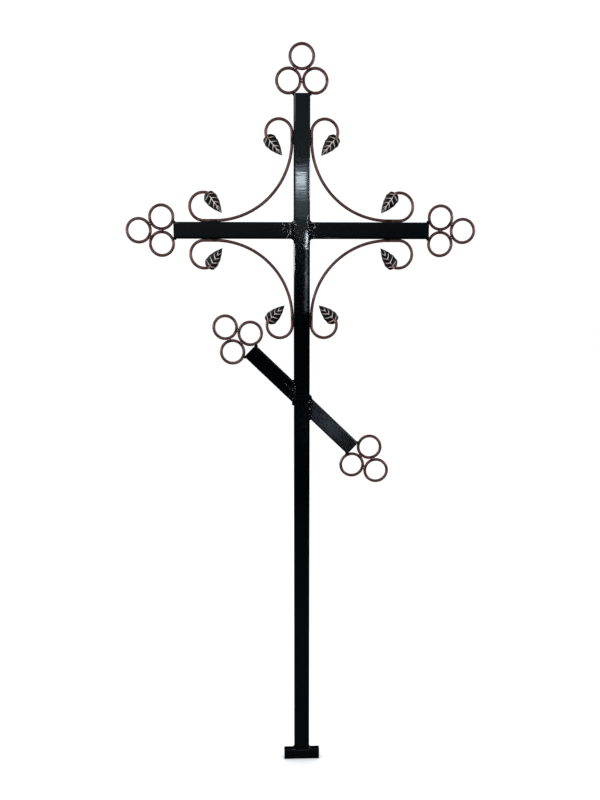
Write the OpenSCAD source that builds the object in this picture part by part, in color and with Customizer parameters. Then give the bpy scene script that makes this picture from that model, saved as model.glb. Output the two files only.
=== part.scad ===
// Grave cross of the Orthodox pattern, welded from rectangular steel tube,
// round rod and pressed leaves. Front faces -Y, +Z is up, and the origin is
// the middle of the foot's underside.

/* [Tube] */
// Width of the post's and bars' front face
bar_face = 40; // [30:1:60]
// Depth of the tubes, front to back
bar_depth = 20; // [16:1:40]
// Wall thickness of the tubes
bar_wall = 2; // [1.5:0.5:3]
// Outer corner radius of the tubes
bar_corner = 4; // [3:0.5:6]
// Thickness of the plates that close the tube ends
plate_t = 2; // [1:0.5:4]

/* [Cross] */
// Height of the level crossbar's centre line
cross_z = 1405; // [1100:5:1800]
// Height of the post above the crossbar's centre line
head_h = 320; // [290:5:420]
// Reach of each arm from the post's centre line
arm_reach = 312; // [290:1:420]
// Height of the slanted bar's centre below the crossbar's
slant_drop = 420; // [380:5:500]
// Length of the slanted bar along its centre line
slant_len = 360; // [300:5:440]
// Tilt of the slanted bar from level
slant_angle = 44; // [30:1:50]

/* [Foot] */
// Length of the foot, side to side
foot_len = 94; // [70:1:160]
// Height of the foot's tube
foot_h = 28; // [20:1:50]

/* [Rod] */
// Diameter of the round rod in the rings and scrolls
rod_d = 7.5; // [4:0.5:9]
// Outer diameter of each ring
ring_od = 64; // [50:1:72]

/* [Scrolls] */
// Distance from a bar's axis at which a scroll turns on to the next bar
scroll_corner = 213; // [180:1:240]
// Straight run along the post before the curl
run_post = 18; // [10:1:35]
// Straight run along the crossbar before the curl
run_arm = 26; // [10:1:35]
// Centre-line radius of the curls on the crossbar
curl_arm = 33.5; // [24:0.5:36]
// Centre-line radius of the curls on the post
curl_post = 31.5; // [24:0.5:36]
// Angle that each curl turns through
curl_turn = 196; // [180:1:230]

/* [Leaves] */
// Length of a leaf
leaf_len = 60; // [45:1:65]
// Width of a leaf at its broadest
leaf_w = 34; // [25:1:40]
// Thickness of the pressed sheet
leaf_t = 1.5; // [1:0.1:3]
// How far the blade is cupped at its edges
leaf_cup = 2.5; // [0:0.5:5]
// Height of the pressed middle rib
rib_h = 1.4; // [0.5:0.1:2]
// Pairs of side veins
veins = 4; // [3:1:5]
// How far a leaf's base reaches behind the rod's end
leaf_lap = 1.5; // [1:0.5:10]
// Angle from the crossbar at which its leaves point back to the crossing
lean_arm = 54; // [40:1:60]
// Angle from the post at which the upper pair of leaves point back
lean_high = 41; // [35:1:60]
// Angle from the post at which the lower pair of leaves point back
lean_low = 47; // [35:1:60]

/* [Hidden] */
$fn = 64;
spots = ["tip", "a", "b"];

black = [0.03, 0.03, 0.04];
copper = [0.42, 0.22, 0.16];

rod_r = rod_d / 2;
ring_r = ring_od / 2;
half_face = bar_face / 2;
head_z = cross_z + head_h;
slant_z = cross_z - slant_drop;

// Rings lean on a bar's end corners: the pair sits side by side, and the
// third ring rests in the saddle between them.
pair_reach = sqrt(pow(ring_r, 2) - pow(ring_r - half_face, 2));
tip_reach = pair_reach + sqrt(3) * ring_r;

// A scroll's centre line runs one rod radius off the faces of both bars.
rod_off = half_face + rod_r;
sweep_r = scroll_corner - rod_off;

// ---- tube ----

module rounded(w, h, r) {
    union() {
        square([w - 2 * r, h], center = true);
        square([w, h - 2 * r], center = true);
        for (x = [-1, 1], y = [-1, 1])
            translate([x * (w / 2 - r), y * (h / 2 - r)]) circle(r);
    }
}

// A tube along +X from 0, its face towards -Y
module tube(len, face, depth = bar_depth) {
    rotate([90, 0, 90]) linear_extrude(len) difference() {
        rounded(depth, face, bar_corner);
        rounded(depth - 2 * bar_wall, face - 2 * bar_wall, bar_corner - bar_wall);
    }
}

// A closing plate at the end of such a tube
module plate(face, depth = bar_depth) {
    rotate([90, 0, 90]) linear_extrude(plate_t) rounded(depth, face, bar_corner);
}

// ---- places: each puts +X along a bar, outwards ----

module at_head() { translate([0, 0, head_z]) rotate([0, -90, 0]) children(); }
module at_left() { translate([-arm_reach, 0, cross_z]) rotate([0, 0, 180]) children(); }
module at_right() { translate([arm_reach, 0, cross_z]) children(); }
module at_upper() {
    translate([0, 0, slant_z]) rotate([0, slant_angle - 180, 0])
        translate([slant_len / 2, 0, 0]) children();
}
module at_lower() {
    translate([0, 0, slant_z]) rotate([0, slant_angle, 0])
        translate([slant_len / 2, 0, 0]) children();
}

// ---- frame ----

module post() {
    color(black) translate([0, 0, foot_h]) rotate([0, -90, 0])
        tube(head_z - plate_t - foot_h, bar_face);
}

module arm() {
    color(black) rotate([0, 180, 0]) translate([plate_t, 0, 0])
        tube(arm_reach - plate_t - half_face, bar_face);
}

// One half of the slanted bar, its inner end cut to the post's side
module slant(side) {
    color(black) difference() {
        translate([0, 0, slant_z]) rotate([0, side < 0 ? slant_angle - 180 : slant_angle, 0])
            tube(slant_len / 2 - plate_t, bar_face);
        translate([side < 0 ? -half_face : half_face - slant_len, -bar_depth, slant_z - slant_len])
            cube([slant_len, 2 * bar_depth, 2 * slant_len]);
    }
}

module foot() {
    color(black) translate([plate_t - foot_len / 2, 0, foot_h / 2])
        tube(foot_len - 2 * plate_t, foot_h);
}

module end_plate(face) {
    color(black) translate([-plate_t, 0, 0]) plate(face);
}

module foot_plate(side) {
    color(black) translate([side < 0 ? -foot_len / 2 : foot_len / 2 - plate_t, 0, foot_h / 2])
        plate(foot_h);
}

// ---- rings ----

module ring(reach, off) {
    color(copper) translate([reach, 0, off]) rotate([90, 0, 0])
        rotate_extrude() translate([ring_r - rod_r, 0]) circle(rod_r, $fn = 32);
}

module ring_at(spot) {
    if (spot == "tip") ring(tip_reach, 0);
    if (spot == "a") ring(pair_reach, ring_r);
    if (spot == "b") ring(pair_reach, -ring_r);
}

// ---- scrolls ----

// An arc of rod in the XZ plane about the origin, from angle "from"
module rod_arc(r, from, turn) {
    rotate([90, 0, 0]) rotate([0, 0, from]) rotate_extrude(angle = turn)
        translate([r, 0]) circle(rod_r, $fn = 32);
}

// The run along one bar and the curl at its end. The run starts at the
// origin and goes along +X; the curl turns up, away from the bar.
module run_and_curl(run, r) {
    rotate([0, 90, 0]) cylinder(h = run, r = rod_r, $fn = 32);
    translate([run, 0, r]) rod_arc(r, -90, curl_turn);
}

// A whole scroll in the corner where both bars run along +X and +Z
module scroll() {
    color(copper) union() {
        translate([scroll_corner, 0, scroll_corner]) rod_arc(sweep_r, 180, 90);
        translate([scroll_corner, 0, rod_off]) run_and_curl(run_arm, curl_arm);
        translate([rod_off, 0, scroll_corner]) swap() run_and_curl(run_post, curl_post);
    }
}

// Swaps X and Z, so that the post's end is made as the arm's end is
module swap() { rotate([0, 45, 0]) mirror([1, 0, 0]) rotate([0, -45, 0]) children(); }

// Puts what is drawn for the upper right corner into any corner
module corner(x, z) {
    translate([0, 0, cross_z]) mirror([x < 0 ? 1 : 0, 0, 0])
        mirror([0, 0, z < 0 ? 1 : 0]) children();
}

// ---- leaves ----

n_len = 20;
n_wide = 10;
// shares that set how blunt the base is and how drawn out the tip is
blunt = 0.35;
drawn = 0.95;
scallop = 0.07;
vein_slant = 0.16;

// Outline before scaling, and its broadest value
function bow(s) = pow(s, blunt) * pow(1 - s, drawn);
broadest = bow(blunt / (blunt + drawn));

// Half width of the blade at a share s of its length, scalloped at the veins
function blade(s) = leaf_w / 2 * bow(s) / broadest
    * (1 - scallop * pow(sin(180 * veins * s), 2));

// Height of the front face at a share s along and a share a out from the
// middle: cupped blade, middle rib and slanting side veins
function vein(s, a) = pow(max(0, cos(360 * (veins * (s - vein_slant * a) - 0.1))), 3)
    * (1 - a) * sin(180 * s);
function relief(s, a) = -leaf_cup * a * a
    + rib_h * exp(-pow(a / 0.16, 2)) * (1 - 0.6 * s)
    + rib_h * 0.6 * vein(s, a);

// One leaf from its base at the origin to its tip along +X, face to -Y
module leaf() {
    side = n_wide + 1;
    count = (n_len + 1) * side;
    grid = [for (back = [0, 1], i = [0:n_len], j = [0:n_wide])
        let (s = 0.01 + 0.985 * pow(i / n_len, 1.3), t = 2 * j / n_wide - 1)
        [s * leaf_len, back * leaf_t - relief(s, abs(t)), t * blade(s)]];
    top = [for (i = [0:n_len - 1], j = [0:n_wide - 1])
        let (k = i * side + j) [[k, k + side, k + side + 1], [k, k + side + 1, k + 1]]];
    under = [for (f = top) [for (t = f) [t[2] + count, t[1] + count, t[0] + count]]];
    ends = [for (j = [0:n_wide - 1], e = [0, n_len]) let (k = e * side + j, c = count)
        e == 0 ? [[k, k + 1, k + 1 + c], [k, k + 1 + c, k + c]]
               : [[k + 1, k, k + c], [k + 1, k + c, k + 1 + c]]];
    edges = [for (i = [0:n_len - 1], e = [0, n_wide]) let (k = i * side + e, c = count)
        e == 0 ? [[k + side, k, k + c], [k + side, k + c, k + side + c]]
               : [[k, k + side, k + side + c], [k, k + side + c, k + c]]];
    faces = [for (part = [top, under, ends, edges], pair = part, f = pair) f];
    color(copper) polyhedron(grid, faces);
}

// A leaf hangs on the back of the rod's end, by its base, and its tip
// points at the crossing. Its middle rib starts level with the rod's back.
module leaf_on(run, r, lean) {
    end = curl_turn - 90;
    translate([scroll_corner + run + r * cos(end), rod_r + rib_h, rod_off + r + r * sin(end)])
        rotate([0, 180 - lean, 0]) translate([-leaf_lap, 0, 0]) leaf();
}
module leaf_arm() { leaf_on(run_arm, curl_arm, lean_arm); }
module leaf_post(lean) { swap() leaf_on(run_post, curl_post, lean); }

post();
at_left() arm();  // arm_left
at_right() arm();  // arm_right
slant(-1);  // slant_upper
slant(1);  // slant_lower
foot();
at_head() end_plate(bar_face);  // plate_head
at_left() end_plate(bar_face);  // plate_left
at_right() end_plate(bar_face);  // plate_right
at_upper() end_plate(bar_face);  // plate_upper
at_lower() end_plate(bar_face);  // plate_lower
foot_plate(-1);  // plate_foot_left
foot_plate(1);  // plate_foot_right
for (spot = spots) {
    at_head() ring_at(spot);
    at_left() ring_at(spot);
    at_right() ring_at(spot);
    at_upper() ring_at(spot);
    at_lower() ring_at(spot);
}
corner(-1, 1) scroll();  // scroll_high_left
corner(1, 1) scroll();  // scroll_high_right
corner(-1, -1) scroll();  // scroll_low_left
corner(1, -1) scroll();  // scroll_low_right
corner(-1, 1) leaf_post(lean_high);  // leaf_high_left_post
corner(-1, 1) leaf_arm();  // leaf_high_left_arm
corner(1, 1) leaf_post(lean_high);  // leaf_high_right_post
corner(1, 1) leaf_arm();  // leaf_high_right_arm
corner(-1, -1) leaf_post(lean_low);  // leaf_low_left_post
corner(-1, -1) leaf_arm();  // leaf_low_left_arm
corner(1, -1) leaf_post(lean_low);  // leaf_low_right_post
corner(1, -1) leaf_arm();  // leaf_low_right_arm
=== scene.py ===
"""A welded grave cross: black enamelled tube, copper-brushed rod and pressed leaves."""

import math
import random

import bmesh
import bpy
from mathutils import Matrix, Vector, noise


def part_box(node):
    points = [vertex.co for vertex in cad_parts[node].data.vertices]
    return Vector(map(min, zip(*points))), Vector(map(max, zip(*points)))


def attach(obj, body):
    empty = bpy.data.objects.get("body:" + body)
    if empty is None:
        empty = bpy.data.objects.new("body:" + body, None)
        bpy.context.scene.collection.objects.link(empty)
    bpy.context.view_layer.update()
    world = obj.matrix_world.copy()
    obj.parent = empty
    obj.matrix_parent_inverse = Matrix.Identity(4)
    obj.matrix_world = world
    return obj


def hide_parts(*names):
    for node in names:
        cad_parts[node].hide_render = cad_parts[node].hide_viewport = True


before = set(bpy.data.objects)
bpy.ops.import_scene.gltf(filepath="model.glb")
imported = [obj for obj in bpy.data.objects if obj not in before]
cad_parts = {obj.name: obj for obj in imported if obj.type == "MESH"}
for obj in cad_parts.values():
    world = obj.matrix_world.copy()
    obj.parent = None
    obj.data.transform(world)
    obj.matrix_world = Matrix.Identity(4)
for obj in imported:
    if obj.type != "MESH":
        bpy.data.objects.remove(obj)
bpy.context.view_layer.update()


# --- Tubes and end plates -------------------------------------------------
# Cold-drawn rectangular steel tube: the post, two arms, the slanted bar and
# the foot, each closed by a small plate ground flush. All of it was sprayed
# together in thick gloss black enamel, which ripples and looks a little blue.

class Value:
    """A value that runs between shader nodes; the usual signs add Math nodes."""

    def __init__(self, finish, socket):
        self.finish = finish
        self.socket = socket

    def worked(self, operation, first, second):
        return self.finish.add("ShaderNodeMath", {"operation": operation}, {0: first, 1: second})

    def __add__(self, other):
        return self.worked("ADD", self, other)

    def __radd__(self, other):
        return self.worked("ADD", other, self)

    def __sub__(self, other):
        return self.worked("SUBTRACT", self, other)

    def __rsub__(self, other):
        return self.worked("SUBTRACT", other, self)

    def __mul__(self, other):
        return self.worked("MULTIPLY", self, other)

    def __rmul__(self, other):
        return self.worked("MULTIPLY", other, self)


class Finish:
    """A finish being mixed: one material, and one way to add a node to it."""

    def __init__(self, name):
        self.material = bpy.data.materials.new(name)
        self.material.use_nodes = True
        self.tree = self.material.node_tree
        self.shader = self.tree.nodes["Principled BSDF"]

    def add(self, kind, settings=None, sockets=None, out=0):
        node = self.tree.nodes.new(kind)
        for name, value in (settings or {}).items():
            if name == "stops":
                self.set_stops(node.color_ramp.elements, value)
            else:
                setattr(node, name, value)
        for name, value in (sockets or {}).items():
            self.feed(node.inputs[name], value)
        return Value(self, node.outputs[out])

    def set_stops(self, elements, stops):
        while len(elements) < len(stops):
            elements.new(0.5)
        for element, (spot, shade) in zip(elements, stops):
            element.position = spot
            element.color = (*shade, 1.0) if isinstance(shade, tuple) else (shade,) * 3 + (1.0,)

    def feed(self, socket, value):
        if isinstance(value, Value):
            self.tree.links.new(value.socket, socket)
        elif isinstance(value, tuple) and socket.type == "RGBA":
            socket.default_value = (*value, 1.0)
        else:
            socket.default_value = value

    def noise(self, place, scale, detail=2.0, roughness=0.5):
        sockets = {"Vector": place, "Scale": scale, "Detail": detail, "Roughness": roughness}
        return self.add("ShaderNodeTexNoise", None, sockets)

    def ramp(self, value, *stops):
        return self.add("ShaderNodeValToRGB", {"stops": stops}, {0: value})

    def mix(self, share, first, second):
        return self.add("ShaderNodeMix", {"data_type": "RGBA"}, {0: share, 6: first, 7: second}, 2)

    def stretched(self, place, scale):
        return self.add("ShaderNodeMapping", None, {"Vector": place, "Scale": scale})

    def set(self, **sockets):
        for name, value in sockets.items():
            self.feed(self.shader.inputs[name.replace("_", " ").title().replace("Ior", "IOR")], value)

    def bump(self, height, depth, strength=1.0, under=None):
        sockets = {"Height": height, "Distance": depth, "Strength": strength}
        if under:
            sockets["Normal"] = under
        return self.add("ShaderNodeBump", None, sockets)


def black_enamel(name, sag_depth, peel_depth, haze=1.0, dulled=0.02):
    """Gloss black enamel over steel, with depths in metres; haze is how grey its film is."""
    finish = Finish(name)
    place = finish.add("ShaderNodeTexCoord", None, None, "Object")
    cloud = finish.noise(place, 9.0, 3.0)
    speck = finish.ramp(finish.noise(place, 420.0, 2.0, 0.6), (0.68, 0.0), (0.76, 1.0))
    thin = tuple(haze * part for part in (0.0002, 0.0003, 0.0005))
    thick = tuple(haze * part for part in (0.0006, 0.0010, 0.0014))
    colour = finish.mix(speck * 0.2, finish.mix(cloud, thin, thick), (0.022, 0.027, 0.032))
    peel = finish.noise(place, 330.0, 2.0)
    sag = finish.noise(finish.stretched(place, (0.14, 1.0, 1.0)), 110.0, 2.0, 0.6)
    normal = finish.bump(peel, peel_depth, 1.0, finish.bump(sag, sag_depth))
    rough = dulled + 0.02 * finish.noise(place, 19.0, 4.0, 0.6) + 0.12 * speck
    finish.set(base_color=colour, roughness=rough, normal=normal, coat_roughness=0.15,
               coat_weight=0.08 + 0.35 * cloud, ior=1.5)
    return finish.material


tube_enamel = black_enamel("black_enamel", 0.00007, 0.000002)
# a rougher enamel whose film is made greyer and bluer as a painted sheen
hazy_enamel = black_enamel("hazy_enamel", 0.00020, 0.00003, 4.0, 0.26)
tube_nodes = [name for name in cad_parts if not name.startswith(("ring", "scroll", "leaf"))]
for name in tube_nodes:
    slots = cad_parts[name].data.materials
    slots.clear()
    # the lower half of the slanted bar is rougher, and its greyer, bluer film is a painted sheen
    slots.append(hazy_enamel if name.endswith("_lower") else tube_enamel)

post_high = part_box("post")[1]
arm_low, arm_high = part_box("arm_right")
foot_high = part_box("foot")[1]
half_face = post_high.x
half_depth = post_high.y
cross_z = (arm_low.z + arm_high.z) / 2


# --- Rings ----------------------------------------------------------------
# Fifteen rings bent from 7.5 mm round rod and closed by a weld, in a trefoil on
# each free end. The black rod was painted over by hand with copper patina on a
# brush, which missed in places. More of it lies on the outside of the bends,
# partly where the brush caught and partly as a painted highlight, with painted
# shade on the inside.

ring_low, ring_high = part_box("ring_head_tip")
rod_r = ring_high.y
rod_sides = 16
burn_reach = 0.007


def copper_patina(name, straightened=True):
    """Copper patina laid with a brush over black rod, in streaks along it, burnt off round the welds, and
    heavier on the outside of bends, partly as a painted highlight.

    "rod" is a point's place if the rod were straightened, and "burn" is 1 at a weld.
    """
    finish = Finish(name)
    if straightened:
        rod = finish.add("ShaderNodeAttribute", {"attribute_name": "rod"}, None, "Vector")
    else:
        rod = finish.add("ShaderNodeTexCoord", None, None, "Object")
    burn = finish.add("ShaderNodeAttribute", {"attribute_name": "burn"}, None, "Fac")
    streak = finish.noise(finish.stretched(rod, (0.035, 1.0, 1.0)), 800.0, 3.0, 0.6)
    patch = finish.noise(finish.stretched(rod, (1.0, 0.8, 0.8)), 34.0, 3.0, 0.6)
    fine = finish.noise(rod, 1500.0, 2.0, 0.7)
    brushed_and_sheen = 0.6 * patch + 0.4 * streak - 0.45 * burn
    # more copper on the outer side of each bend: partly where the brush caught, partly a painted highlight
    # outside and painted shade inside
    if straightened:
        parts = finish.add("ShaderNodeSeparateXYZ", None, {0: rod}).socket.node
        brushed_and_sheen = brushed_and_sheen + Value(finish, parts.outputs["Y"]) * (0.06 / rod_r)
    cover_and_sheen = finish.ramp(brushed_and_sheen, (0.34, 0.0), (0.54, 1.0))
    dull = finish.mix(streak, (0.008, 0.004, 0.0035), (0.06, 0.02, 0.015))
    if straightened:
        bright = finish.mix(patch, (0.14, 0.050, 0.042), (0.34, 0.145, 0.125))
    # paler, pinker copper on the weld metal: partly copper patina, partly a painted highlight standing for
    # the glints on the tacks
    else:
        bright = finish.mix(patch, (0.30, 0.095, 0.055), (0.75, 0.40, 0.33))
    rubbed = finish.ramp(fine * 0.3 + streak * 0.7, (0.50, 0.0), (0.64, 1.0))
    colour = finish.mix(cover_and_sheen, dull, finish.mix(0.5 * rubbed, bright, (0.62, 0.45, 0.42)))
    normal = finish.bump(streak, 0.00010, 0.9, finish.bump(fine, 0.00003))
    finish.set(base_color=colour, metallic=0.45 + 0.45 * cover_and_sheen,
               roughness=0.46 - 0.14 * cover_and_sheen + 0.10 * fine, normal=normal, ior=1.5)
    return finish.material


rod_finish = copper_patina("copper_patina")
# the weld metal's paler copper is partly a painted highlight
weld_copper = copper_patina("weld_copper", straightened=False)


class Rod:
    """A round rod that is drawn along straight runs and spun round bends.

    It starts at a place with a heading in the XZ plane, and bends to its
    left. "rod" holds each point's place along, out from and across the rod.
    """

    def __init__(self, start, heading, radius):
        self.shape = bmesh.new()
        self.spot = self.shape.verts.layers.float_vector.new("rod")
        self.end = Vector(start)
        self.heading = Vector(heading).normalized()
        self.radius = radius
        self.length = 0.0
        self.count = 0
        face = Matrix.Translation(self.end) @ self.heading.to_track_quat("Z", "Y").to_matrix().to_4x4()
        bmesh.ops.create_circle(self.shape, cap_ends=False, segments=rod_sides, radius=radius, matrix=face)
        self.edge = list(self.shape.edges)
        self.mark(lambda co: 0.0)

    def outward(self):
        return Vector((self.heading.z, 0.0, -self.heading.x))

    def mark(self, along):
        """Writes the straightened place of the points that were just added."""
        self.shape.verts.ensure_lookup_table()
        for vert in self.shape.verts[self.count:]:
            self.place(vert, along)
        self.count = len(self.shape.verts)

    def place(self, vert, along):
        side = (vert.co - self.end).dot(self.outward())
        vert[self.spot] = (self.length + along(vert.co), side, vert.co.y)

    def run(self, length, steps):
        for _ in range(steps):
            move = self.heading * (length / steps)
            made = bmesh.ops.extrude_edge_only(self.shape, edges=self.edge)["geom"]
            moved = [g for g in made if isinstance(g, bmesh.types.BMVert)]
            bmesh.ops.translate(self.shape, vec=move, verts=moved)
            self.edge = [g for g in made if isinstance(g, bmesh.types.BMEdge) and g.is_boundary]
            self.length += length / steps
            self.end += move
            self.mark(lambda co: 0.0)

    def bend(self, bend_r, angle, steps, closed=False):
        centre = self.end - self.outward() * bend_r
        start = self.end - centre
        made = bmesh.ops.spin(self.shape, geom=self.edge, cent=centre, axis=(0, -1, 0), angle=angle,
                              steps=steps, use_merge=closed)
        self.shape.verts.ensure_lookup_table()
        for vert in self.shape.verts[self.count:]:
            arm = vert.co - centre
            turned = math.atan2(start.z * -arm.x + start.x * arm.z, start.x * arm.x + start.z * arm.z)
            turned = turned % (2 * math.pi) if turned < -0.001 else turned
            vert[self.spot] = (self.length + turned * bend_r, math.hypot(arm.x, arm.z) - bend_r, vert.co.y)
        self.count = len(self.shape.verts)
        if not closed:
            self.edge = [g for g in made["geom_last"] if isinstance(g, bmesh.types.BMEdge)]
            turn = Matrix.Rotation(angle, 3, (0, -1, 0))
            self.end = centre + turn @ start
            self.heading = turn @ self.heading
            self.length += angle * bend_r

    def cap(self):
        ends = [e for e in self.shape.edges if e.is_boundary]
        bmesh.ops.holes_fill(self.shape, edges=ends, sides=rod_sides)

    def finished(self, name, seed, welds):
        """The rod as a piece, a little uneven as hand-bent rod is, burnt at its welds."""
        burn = self.shape.verts.layers.float.new("burn")
        self.shape.normal_update()
        for vert in self.shape.verts:
            near = min((vert.co - weld).length for weld in welds)
            vert[burn] = math.exp(-(near / burn_reach) ** 2)
            co = vert[self.spot]
            wave = noise.noise(Vector((co.x * 36 + seed, co.y * 90, co.z * 90)))
            vert.co += vert.normal * wave * 0.00012
            vert[self.spot] = (co.x + seed * 0.37, co.y, co.z)
        return finished_piece(name, self.shape, rod_finish)


def finished_piece(name, shape, material):
    bmesh.ops.recalc_face_normals(shape, faces=shape.faces)
    mesh = bpy.data.meshes.new(name)
    shape.to_mesh(mesh)
    shape.free()
    mesh.shade_smooth()
    mesh.materials.append(material)
    piece = bpy.data.objects.new(name, mesh)
    bpy.context.scene.collection.objects.link(piece)
    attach(piece, "root")
    return piece


def middle(name):
    low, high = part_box(name)
    return (low + high) / 2


ring_bend = (ring_high.x - ring_low.x) / 2 - rod_r
ring_nodes = sorted(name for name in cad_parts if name.startswith("ring"))
trefoils = sorted({name.rsplit("_", 1)[0] for name in ring_nodes})
plates = {"ring_head": "plate_head", "ring_left": "plate_left", "ring_right": "plate_right",
          "ring_upper": "plate_upper", "ring_lower": "plate_lower"}


def trefoil_welds(trefoil):
    """Where a trefoil's rings touch each other, and the two plate corners they lean on."""
    tip, one, two = (middle(trefoil + spot) for spot in ("_tip", "_a", "_b"))
    touches = [(tip + one) / 2, (tip + two) / 2, (one + two) / 2]
    base = middle(plates[trefoil])
    side = (one - two).normalized() * half_face
    return touches, [base + side, base - side]


for count, name in enumerate(ring_nodes):
    touches, corners = trefoil_welds(name.rsplit("_", 1)[0])
    rod = Rod(middle(name) + Vector((ring_bend, 0, 0)), (0, 0, 1), rod_r)
    rod.bend(ring_bend, 2 * math.pi, 80, closed=True)
    ring = rod.finished(name + "_rod", count * 7.3, touches + corners)
    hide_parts(name)


# --- Scrolls --------------------------------------------------------------
# Four C-scrolls of the same rod, one in each corner. Each is one length bent
# on a jig: a curl, a short run along the post, a wide quarter sweep, a run
# along the arm and the second curl. They are tacked to the tubes.

curl_arm = 0.0335
curl_post = 0.0315
curl_turn = math.radians(196)
run_post = 0.018
run_arm = 0.026
scroll_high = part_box("scroll_high_right")[1]
scroll_corner = scroll_high.x - run_arm - curl_arm - rod_r
sweep_r = scroll_corner - half_face - rod_r


def into_corner(shape, name):
    """Takes what was made for the upper right corner to the corner in a name."""
    across = -1 if "left" in name else 1
    up = -1 if "low" in name else 1
    for vert in shape.verts:
        vert.co = (vert.co.x * across, vert.co.y, cross_z + (vert.co.z - cross_z) * up)
    return across * up


def curl_end(on_post):
    """A curl's free end: how far along its tube, and how far off the tube's axis."""
    run, bend_r = (run_post, curl_post) if on_post else (run_arm, curl_arm)
    angle = curl_turn - math.pi / 2
    reach = scroll_corner + run + bend_r * math.cos(angle)
    return reach, half_face + rod_r + bend_r + bend_r * math.sin(angle)


scroll_nodes = sorted(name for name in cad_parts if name.startswith("scroll"))
for count, name in enumerate(scroll_nodes):
    # from the post's curl to the arm's, bending to the left all the way
    up_post, off_post = curl_end(True)
    heading = (-math.sin(curl_turn), 0, -math.cos(curl_turn))
    rod = Rod((off_post, 0, cross_z + up_post), heading, rod_r)
    rod.bend(curl_post, curl_turn, 56)
    rod.run(run_post, 5)
    rod.bend(sweep_r, math.pi / 2, 72)
    rod.run(run_arm, 7)
    rod.bend(curl_arm, curl_turn, 56)
    rod.cap()
    into_corner(rod.shape, name)
    across = -1 if "left" in name else 1
    up = -1 if "low" in name else 1
    seats = [Vector((across * half_face, 0, cross_z + up * scroll_corner)),
             Vector((across * scroll_corner, 0, cross_z + up * half_face))]
    scroll = rod.finished(name + "_rod", 150 + count * 9.1, seats)
    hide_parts(name)


# --- Leaves ---------------------------------------------------------------
# Eight leaves pressed from thin sheet steel: a cupped blade with a middle rib
# and four pairs of side veins, welded behind the rod's end by its base. Black
# like the rod, with pale copper rubbed over the ribs, and a painted highlight
# in pale grey along one edge.

leaf_len = 0.060
leaf_w = 0.034
sheet_t = 0.0012
rib_h = 0.0014
cup = 0.0025
lean_arm, lean_high, lean_low = (math.radians(angle) for angle in (54, 41, 47))
leaf_lap = 0.0015
vein_pairs = 4
blunt, drawn = 0.35, 0.95


def bow(s):
    return s ** blunt * (1 - s) ** drawn


broadest = bow(blunt / (blunt + drawn))


def leaf_edge(s, side):
    """Half width at a share of the length; the two sides are scalloped out of step."""
    wave = math.sin(math.pi * (vein_pairs * s + 0.18 * side)) ** 2
    return leaf_w / 2 * bow(s) / broadest * (1 + 0.03 * side - 0.10 * wave * (1 - s))


def leaf_relief(s, a, side, shine):
    """Height of the pressed front, and how much of it is a rib or a vein."""
    rib_wide = 0.0015 * (1 - 0.5 * s)
    off = a * leaf_edge(s, side)
    rib = math.exp(-(off / rib_wide) ** 2) * (1 - 0.35 * s)
    veins = 0.0
    swell = 0.0
    for pair in range(vein_pairs):
        start = 0.10 + 0.19 * pair + 0.02 * side
        reach = start + (0.13 + 0.045 * pair) * a ** 1.3
        gap = (s - reach) * leaf_len * 0.8
        veins += math.exp(-(gap / 0.00115) ** 2) * (1 - 0.6 * a * a)
        swell += math.exp(-((gap - 0.0042) / 0.0028) ** 2) * a * (1 - a)
    height = -cup * a * a + rib_h * rib + 0.0010 * veins * (1 - rib) + 0.0018 * swell
    return height, min(1.0, shine * rib + 0.8 * veins)


def leaf_finish():
    """Black with copper rubbed on; "rib" is 1 on the ribs and veins, and the edge mask is 1 at one edge,
    where a painted highlight goes.
    """
    finish = Finish("leaf_patina")
    place = finish.add("ShaderNodeTexCoord", None, None, "Object")
    rib = finish.add("ShaderNodeAttribute", {"attribute_name": "rib"}, None, "Fac")
    rim = finish.add("ShaderNodeAttribute", {"attribute_name": "rim"}, None, "Fac")
    brush = finish.noise(finish.stretched(place, (1.0, 1.0, 2.5)), 420.0, 3.0, 0.6)
    patch = finish.noise(place, 90.0, 3.0, 0.6)
    rubbed = finish.ramp(rib * 0.9 + (brush - 0.5) * 0.6, (0.34, 0.0), (0.60, 1.0))
    # painted highlight: pale grey along the leaf's edge, mostly on one side
    painted_rim_highlight = finish.ramp(rim * 0.70 + patch * 0.5, (0.55, 0.0), (0.85, 1.0))
    ground = finish.mix(finish.ramp(patch, (0.50, 0.0), (0.75, 1.0)),
                        (0.0016, 0.0012, 0.0012), (0.022, 0.008, 0.006))
    pale = finish.mix(brush, (0.48, 0.36, 0.33), (0.92, 0.84, 0.82))
    colour = finish.mix(rubbed, finish.mix(0.8 * painted_rim_highlight, ground, (0.30, 0.26, 0.24)), pale)
    normal = finish.bump(brush, 0.00008, 0.7)
    finish.set(base_color=colour, metallic=0.10 + 0.35 * rubbed,
               roughness=0.26 + 0.16 * rubbed + 0.14 * patch, normal=normal, ior=1.5)
    return finish.material


leaf_paint = leaf_finish()


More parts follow.
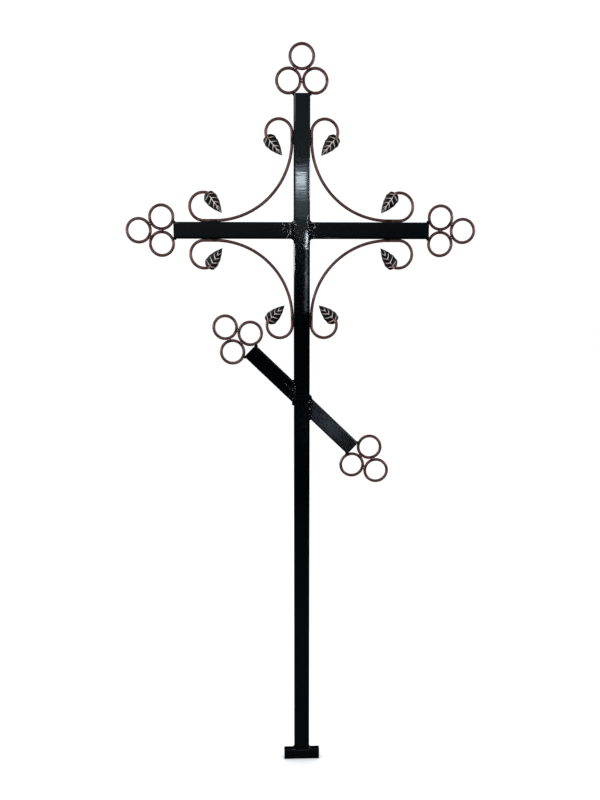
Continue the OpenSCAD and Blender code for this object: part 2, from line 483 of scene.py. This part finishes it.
def pressed_leaf(seed, shine):
    """A leaf from its base at the origin to its tip along +X, its front to -Y.

    shine sets how pale the copper on the middle rib is; the leaves above the arms get more of it.
    """
    shape = bmesh.new()
    rib_mark = shape.verts.layers.float.new("rib")
    rim_highlight_mark = shape.verts.layers.float.new("rim")
    bmesh.ops.create_grid(shape, x_segments=76, y_segments=48, size=1.0)
    for vert in shape.verts:
        s = 0.004 + 0.992 * ((vert.co.x + 1) / 2) ** 1.3
        side = 1 if vert.co.y > 0 else -1
        a = abs(vert.co.y)
        height, mark = leaf_relief(s, a, side if a else 0, shine)
        dent = noise.noise(Vector((s * 5 + seed, vert.co.y * 2, seed))) * 0.0005
        vert[rib_mark] = mark
        # edge mask for the painted highlight, fainter on one side than the other
        vert[rim_highlight_mark] = max(0.0, a * 4 - 3) * (0.2 if side > 0 else 1.0)
        vert.co = (s * leaf_len, -height - dent, side * a * leaf_edge(s, side))
    bmesh.ops.recalc_face_normals(shape, faces=shape.faces)
    if sum(face.normal.y for face in shape.faces) > 0:
        bmesh.ops.reverse_faces(shape, faces=shape.faces)
    bmesh.ops.solidify(shape, geom=shape.faces[:], thickness=sheet_t)
    return shape


def leaf_lean(name):
    """Angle between a leaf and the tube it hangs from."""
    if name.endswith("arm"):
        return lean_arm
    return lean_high if "high" in name else lean_low


for count, name in enumerate(sorted(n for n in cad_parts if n.startswith("leaf"))):
    on_post = name.endswith("post")
    reach, off = curl_end(on_post)
    shape = pressed_leaf(count * 3.7, 1.0 if "high" in name else 0.45)
    seat = Matrix.Translation((reach, rod_r + rib_h, off))
    seat = seat @ Matrix.Rotation(math.pi - leaf_lean(name), 4, "Y")
    seat = seat @ Matrix.Translation((-leaf_lap, 0, 0))
    bmesh.ops.transform(shape, matrix=seat, verts=shape.verts)
    for vert in shape.verts:
        x, y, z = vert.co
        vert.co = (z, y, x + cross_z) if on_post else (x, y, z + cross_z)
    into_corner(shape, name)
    leaf = finished_piece(name + "_pressed", shape, leaf_paint)
    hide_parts(name)


# --- Welds ----------------------------------------------------------------
# Hand-laid arc welds, made as overlapping drops that are then run together.
# Wide uneven beads hold the arms and the slanted bar to the post; small tacks
# hold the rings, scrolls and leaves. All were painted over with the rest.

hand = random.Random(11)


class Weld:
    """Drops of weld metal that flow into one skin."""

    def __init__(self):
        self.shape = bmesh.new()

    def drop(self, place, radius, squash=(1.0, 1.0, 1.0)):
        size = Matrix.Diagonal((*[radius * share for share in squash], 1.0))
        bmesh.ops.create_icosphere(self.shape, subdivisions=2, radius=1.0,
                                   matrix=Matrix.Translation(place) @ size)

    def bead(self, start, end, radius, squash=(1.0, 1.0, 1.0), end_radius=None, sway=0.12):
        """Drops laid side by side from start to end, each a little off line."""
        start, end = Vector(start), Vector(end)
        last = radius if end_radius is None else end_radius
        steps = max(1, round((end - start).length / 0.0026))
        for step in range(steps + 1):
            share = step / steps
            size = (radius * (1 - share) + last * share) * hand.uniform(0.86, 1.14)
            off = Vector([hand.uniform(-sway, sway) * size for _ in range(3)])
            self.drop(start.lerp(end, share) + off, size, squash)

    def spatter(self, middle, spread, count):
        """Small drops thrown on to a front face."""
        for _ in range(count):
            off = Vector((hand.gauss(0, spread[0]), 0, hand.gauss(0, spread[1])))
            self.drop(Vector(middle) + off, hand.uniform(0.0005, 0.0011), (1.0, 0.7, 1.0))

    def finished(self, name, material, slot, grain=0.0006):
        mesh = bpy.data.meshes.new(name)
        self.shape.to_mesh(mesh)
        self.shape.free()
        loose = bpy.data.objects.new(name + "_drops", mesh)
        bpy.context.scene.collection.objects.link(loose)
        flow = loose.modifiers.new("flow", "REMESH")
        flow.mode = "VOXEL"
        flow.voxel_size = grain
        ease = loose.modifiers.new("ease", "SMOOTH")
        ease.factor = 0.5
        ease.iterations = 2
        skin = bmesh.new()
        skin.from_object(loose, bpy.context.evaluated_depsgraph_get())
        bpy.data.objects.remove(loose)
        return finished_piece(name, skin, material)


weld_enamel = black_enamel("weld_enamel", 0.00010, 0.00002)

for name, side in (("left", -1), ("right", 1)):
    weld = Weld()
    joint = side * half_face
    low, high = cross_z - half_face, cross_z + half_face
    for face in (-1, 1):
        y = face * (half_depth - 0.0005)
        for out, rise in ((0.0020, 0.0), (0.0056, 0.0012)):
            x = joint + side * out
            foot, head = (x, y, low + 0.003 + rise), (x, y, high - 0.003 - rise)
            weld.bead(foot, head, 0.0036, (1, 0.42, 1.15), sway=0.28)
        for edge, way in ((low, -1), (high, 1)):
            horn = (joint - side * 0.0026, y - face * 0.0006, edge - way * 0.002)
            point = (joint - side * 0.0006, horn[1], edge + way * 0.015)
            weld.bead(horn, point, 0.0036, (1, 0.55, 1), 0.0010)
    for edge, way in ((low, -1), (high, 1)):
        y = half_depth - 0.0025
        place = (joint + side * 0.0010, -y, edge + way * 0.0004)
        weld.bead(place, (place[0], y, place[2]), 0.0028)
    weld.finished("weld_arm_" + name, weld_enamel, "black_enamel")

# ripples and spatter on the front, with pale blue-white metallic patches painted on them as glints
ridge = Finish("thin_enamel")
ridge_place = ridge.add("ShaderNodeTexCoord", None, None, "Object")
# painted glints: pale blue-white metallic patches on the ripples
painted_glint_mask = ridge.ramp(ridge.noise(ridge_place, 260.0, 2.0), (0.40, 0.0), (0.58, 1.0))
ridge.set(base_color=ridge.mix(painted_glint_mask, (0.010, 0.013, 0.017), (0.62, 0.68, 0.76)),
          metallic=0.75 * painted_glint_mask, roughness=0.42 - 0.12 * painted_glint_mask, ior=1.5)
thin_enamel = ridge.material

front = -half_depth
ripples = [
    [(-0.033, 0.0195), (-0.030, 0.012), (-0.028, 0.002), (-0.033, -0.011), (-0.037, -0.018)],
    [(0.017, 0.036), (0.0135, 0.032), (0.0125, 0.020), (0.015, 0.008), (0.019, 0.0), (0.024, -0.0055)],
    [(0.030, 0.016), (0.0315, 0.010), (0.029, 0.004)],
    [(0.027, -0.0125), (0.0285, -0.017)],
    [(-0.046, 0.0145), (-0.0425, 0.012), (-0.0435, 0.006), (-0.047, 0.002)],
    [(-0.021, 0.022), (-0.0185, 0.017), (-0.014, 0.012)],
]
drip = Weld()
for ripple in ripples:
    for (x0, z0), (x1, z1) in zip(ripple, ripple[1:]):
        drip.bead((x0, front, cross_z + z0), (x1, front, cross_z + z1), 0.0010, (1, 0.7, 1), sway=0.3)
for x, z, size in ((-0.0195, 0.019, 0.0020), (-0.0150, 0.013, 0.0016), (0.0235, -0.006, 0.0017)):
    drip.drop((x, front, cross_z + z), size, (1, 0.6, 1))
drip.spatter((-0.040, front, cross_z), (0.009, 0.008), 8)
drip.spatter((0.032, front, cross_z), (0.005, 0.009), 5)
drip.finished("weld_ripples", thin_enamel, "black_enamel", 0.0005)

slant_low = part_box("slant_lower")[0]
upper_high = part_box("slant_upper")[1]
slant_z = (upper_high.z + slant_low.z) / 2
plate_mid = middle("plate_lower")
slope = math.atan2(slant_z - plate_mid.z, plate_mid.x)
reach_up = half_face / math.cos(slope)

for name, side in (("upper", -1), ("lower", 1)):
    weld = Weld()
    joint = side * half_face
    centre = slant_z - side * half_face * math.tan(slope)
    for face in (-1, 1):
        y = face * (half_depth - 0.0005)
        x = joint + side * 0.0016
        weld.bead((x, y, centre - reach_up), (x, y, centre + reach_up), 0.0034, (1, 0.45, 1.1), sway=0.18)
        x = joint - side * 0.0030
        weld.bead((x, y, centre - reach_up * 0.8), (x, y, centre + reach_up * 0.5), 0.0026, (1, 0.4, 1.3),
                  sway=0.4)
        if side < 0:
            weld.bead((joint - 0.022, y, centre + 0.022), (joint - 0.004, y, centre + 0.004), 0.0030,
                      (1, 0.35, 1), sway=0.2)
            weld.bead((joint - 0.004, y, centre + 0.004), (joint - 0.012, y, centre - 0.009), 0.0018,
                      (1, 0.5, 1), sway=0.2)
    for way in (-1, 1):
        y = half_depth - 0.0025
        place = (joint + side * 0.0010, -y, centre + way * (reach_up + 0.0006))
        weld.bead(place, (place[0], y, place[2]), 0.0030)
    weld.finished("weld_slant_" + name, weld_enamel, "black_enamel")

weld = Weld()
for side in (-1, 1):
    x = side * (half_face + 0.0004)
    weld.bead((x, -half_depth + 0.003, foot_high.z), (x, half_depth - 0.003, foot_high.z), 0.0026)
for face in (-1, 1):
    y = face * (half_depth - 0.0012)
    weld.bead((-half_face + 0.002, y, foot_high.z), (half_face - 0.002, y, foot_high.z), 0.0019, (1, 0.8, 1))
weld.finished("weld_foot", weld_enamel, "black_enamel")

for trefoil in trefoils:
    touches, corners = trefoil_welds(trefoil)
    inside = sum(touches, Vector()) / 3
    tacks = Weld()
    scorch = Weld()
    for touch in touches:
        out = (touch - inside).normalized()
        for face in (-1, 1):
            for _ in range(2):
                jog = Vector((hand.uniform(-1, 1), 0, hand.uniform(-1, 1))) * 0.0008
                place = touch + jog + Vector((0, face * 0.0016, 0))
                tacks.drop(place, hand.uniform(0.0024, 0.0031), (1, 0.85, 1))
            for way in (-1, 1):
                place = touch + out * way * hand.uniform(0.0028, 0.0036)
                scorch.drop(place + Vector((0, face * 0.0010, 0)), hand.uniform(0.0012, 0.0017))
    tacks.finished("tacks_" + trefoil, weld_copper, "copper_rod", 0.0005)
    for corner in corners:
        toward = (corner - inside).normalized()
        for _ in range(7):
            jog = Vector((hand.uniform(-1, 1), hand.uniform(-2.2, 2.2), hand.uniform(-1, 1))) * 0.0012
            scorch.drop(corner - toward * hand.uniform(-0.0018, 0.0012) + jog, hand.uniform(0.0021, 0.0031))
    scorch.finished("welds_" + trefoil, weld_enamel, "black_enamel", 0.0005)

for name in scroll_nodes:
    tacks = Weld()
    for spot in (scroll_corner - 0.004, scroll_corner + 0.006):
        for off in (-0.0015, 0.0005, 0.0018):
            touch = half_face + 0.0006
            jog = hand.uniform(-0.001, 0.001)
            for face in (-1, 1):
                tacks.drop((touch, face * 0.0022, cross_z + spot + off * 2 + jog), 0.0021)
                tacks.drop((spot + off * 2 + jog, face * 0.0022, cross_z + touch), 0.0021)
    into_corner(tacks.shape, name)
    tacks.finished("tacks_" + name, weld_enamel, "black_enamel", 0.0005)
    stems = Weld()
    for on_post in (True, False):
        reach, off = curl_end(on_post)
        lean = leaf_lean(name + ("_post" if on_post else "_arm"))
        toward = Vector((-math.cos(lean), 0, -math.sin(lean)))
        for step in range(9):
            share = step / 8
            drop = Vector((reach, 0, off)) + toward * (0.011 * share - 0.0005)
            drop.y = 0.0026 * share ** 0.8
            if on_post:
                drop = Vector((drop.z, drop.y, drop.x))
            stems.drop(drop + Vector((0, 0, cross_z)), rod_r * (1 - share) + 0.0008 * share)
    into_corner(stems.shape, name)
    stems.finished("stems_" + name, weld_copper, "copper_rod", 0.0005)


# --- Studio ---------------------------------------------------------------
# A plain pale floor and surround. In the metal's shine they are dark instead,
# as in a shaded yard, with open sky low in front. Soft banks at both sides,
# and a window and a narrow gap in front, put the shine on the post.

class Surround(Finish):
    """The light all round, mixed as a finish is."""

    def __init__(self, name):
        self.world = bpy.data.worlds.new(name)
        self.world.use_nodes = True
        self.world.cycles.sampling_method = "NONE"
        bpy.context.scene.world = self.world
        self.tree = self.world.node_tree
        self.shader = self.tree.nodes["Background"]


surround = Surround("surround")
toward = surround.add("ShaderNodeTexCoord", None, None, "Generated")
ways = surround.add("ShaderNodeSeparateXYZ", None, {0: toward}).socket.node
right, behind, up = (Value(surround, ways.outputs[axis]) for axis in "XYZ")
lopsided = surround.ramp(right + 0.5, (0.3, 0.08), (0.7, 0.0))
ahead = surround.ramp(up + lopsided, (0.03, 0.01), (0.10, 0.13), (0.18, 0.28), (0.30, 0.22),
                      (0.48, 0.16), (0.80, 0.02))
overhead = surround.ramp(up, (0.72, 0.0), (0.90, 1.0))
facing = surround.ramp(behind * 2.0 + 0.5, (0.5, 1.0), (0.8, 0.06))
shine = ahead * facing + 0.6 * overhead * (1.0 - facing)
glossy = surround.add("ShaderNodeLightPath", None, None, "Is Glossy Ray")
tint = surround.mix(glossy, (0.98, 0.99, 1.0), (0.66, 0.86, 1.0))
surround.set(color=tint, strength=glossy * shine + (1.0 - glossy) * 1.09)

floor_shape = bmesh.new()
bmesh.ops.create_circle(floor_shape, cap_ends=True, segments=96, radius=30.0)
floor_mesh = bpy.data.meshes.new("floor")
floor_shape.to_mesh(floor_mesh)
floor_shape.free()
floor = bpy.data.objects.new("floor", floor_mesh)
bpy.context.scene.collection.objects.link(floor)
floor_finish = Finish("floor_white")
in_gloss = floor_finish.add("ShaderNodeLightPath", None, None, "Is Glossy Ray")
spot = floor_finish.add("ShaderNodeTexCoord", None, None, "Object")
away = floor_finish.add("ShaderNodeVectorMath", {"operation": "LENGTH"}, {0: spot}, "Value")
shaded = floor_finish.ramp(away * 0.25, (0.2, (0.030, 0.034, 0.038)), (0.7, (0.002, 0.002, 0.003)))
floor_finish.set(base_color=floor_finish.mix(in_gloss, (0.95, 0.95, 0.95), shaded), roughness=0.95)
floor_finish.shader.inputs["Specular IOR Level"].default_value = 0.0
floor_mesh.materials.append(floor_finish.material)


def soft_light(name, place, aim, size, power, colour=(1.0, 1.0, 1.0)):
    data = bpy.data.lights.new(name, "AREA")
    data.shape = "RECTANGLE"
    data.size, data.size_y = size
    data.energy = power
    data.color = colour
    light = bpy.data.objects.new(name, data)
    bpy.context.scene.collection.objects.link(light)
    light.location = place
    light.rotation_euler = (Vector(aim) - Vector(place)).to_track_quat("-Z", "Y").to_euler()


soft_light("sky_bank", (-1.3, -2.2, 2.3), (0, 0, 1.4), (1.6, 0.25), 6)
soft_light("left_bank", (-2.2, -1.2, 1.43), (0, 0, 1.35), (0.5, 0.2), 20, (0.86, 0.93, 1.0))
soft_light("right_bank", (2.2, -1.2, 1.83), (0, 0, 1.6), (0.5, 0.2), 16, (0.86, 0.93, 1.0))
# the window is brightest in its middle, so it is five panes, one over another
panes = [(1.765, 0.05, 0.048), (1.755, 0.09, 0.070), (1.745, 0.15, 0.048),
         (1.715, 0.26, 0.042), (1.67, 0.34, 0.022)]
for count, (rise, height, power) in enumerate(panes):
    blue = (0.86 - 0.06 * count, 0.94 - 0.03 * count, 1.0)
    wide = 0.036 + 0.16 * height
    soft_light(f"window_{count}", (0.072, -1.95, rise), (0, 0, 1.5), (wide, height), power, blue)
soft_light("gap_top", (0.100, -1.95, 1.476), (0, 0, 1.4), (0.005, 0.075), 0.045, (0.88, 0.95, 1.0))
soft_light("gap", (0.100, -1.95, 1.35), (0, 0, 1.34), (0.006, 0.19), 0.010, (0.76, 0.88, 1.0))
soft_light("gap_tail", (0.098, -1.95, 1.23), (0, 0, 1.34), (0.010, 0.20), 0.012, (0.70, 0.82, 1.0))
soft_light("low_window", (0.23, -1.95, 0.56), (0.07, 0, 0.92), (0.07, 0.07), 0.20, (0.70, 0.85, 1.0))
soft_light("back_bank", (1.9, 1.9, 1.2), (0, 0, 1.0), (1.1, 1.6), 9)
bpy.context.scene.view_settings.view_transform = "Standard"

camera_data = bpy.data.cameras.new("camera")
camera_data.lens = 35
camera_data.sensor_width = 36
camera = bpy.data.objects.new("camera", camera_data)
bpy.context.scene.collection.objects.link(camera)
camera.location = (-0.077, -1.946, 1.286)
camera.rotation_euler = (math.radians(90 - 8.79), 0, math.radians(-2.135))
bpy.context.scene.camera = camera
